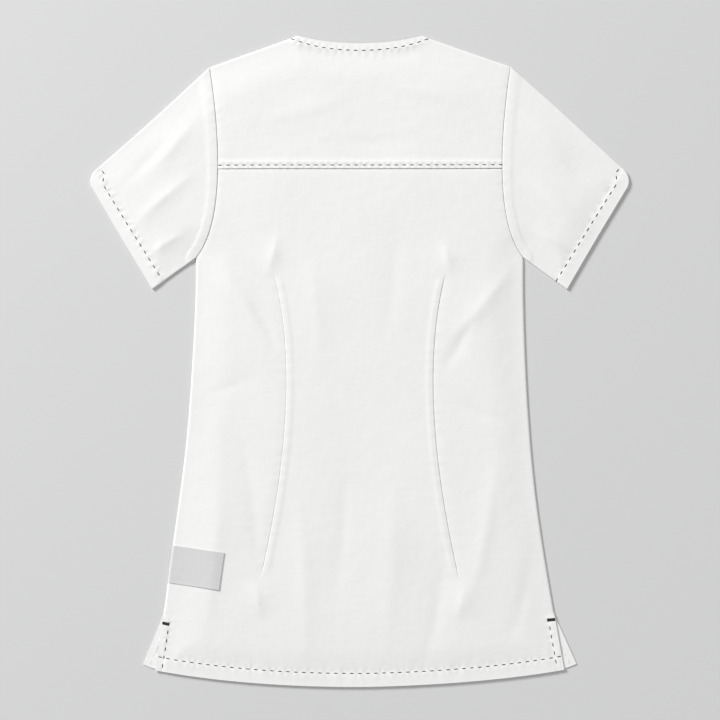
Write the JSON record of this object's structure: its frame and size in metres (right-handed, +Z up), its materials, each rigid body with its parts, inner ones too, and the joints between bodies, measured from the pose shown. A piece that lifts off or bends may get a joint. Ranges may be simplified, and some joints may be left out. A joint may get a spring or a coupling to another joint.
{
  "type": "scrub top",
  "caption": "Short-sleeved scrub top laid flat and face down, with a back yoke, two long darts, set-in sleeves, side vents and a curved hem.",
  "frame": {"origin": "on the surface the top lies on, under the middle of its length and width", "axes": "+Y from the hem to the neck, +X to the wearer's right, +Z up out of the back"},
  "size_m": [0.6454, 0.781, 0.0056],
  "materials": {
    "scrub_cloth": "white polyester and cotton poplin, matt, with dark topstitching",
    "label_cloth": "light grey woven tape, blank"
  },
  "bodies": {
    "root": {"back_yoke": "scrub_cloth", "back_panel": "scrub_cloth", "front_panel": "scrub_cloth", "sleeve_left": "scrub_cloth", "sleeve_right": "scrub_cloth", "side_label": "label_cloth"}
  },
  "joints": []
}
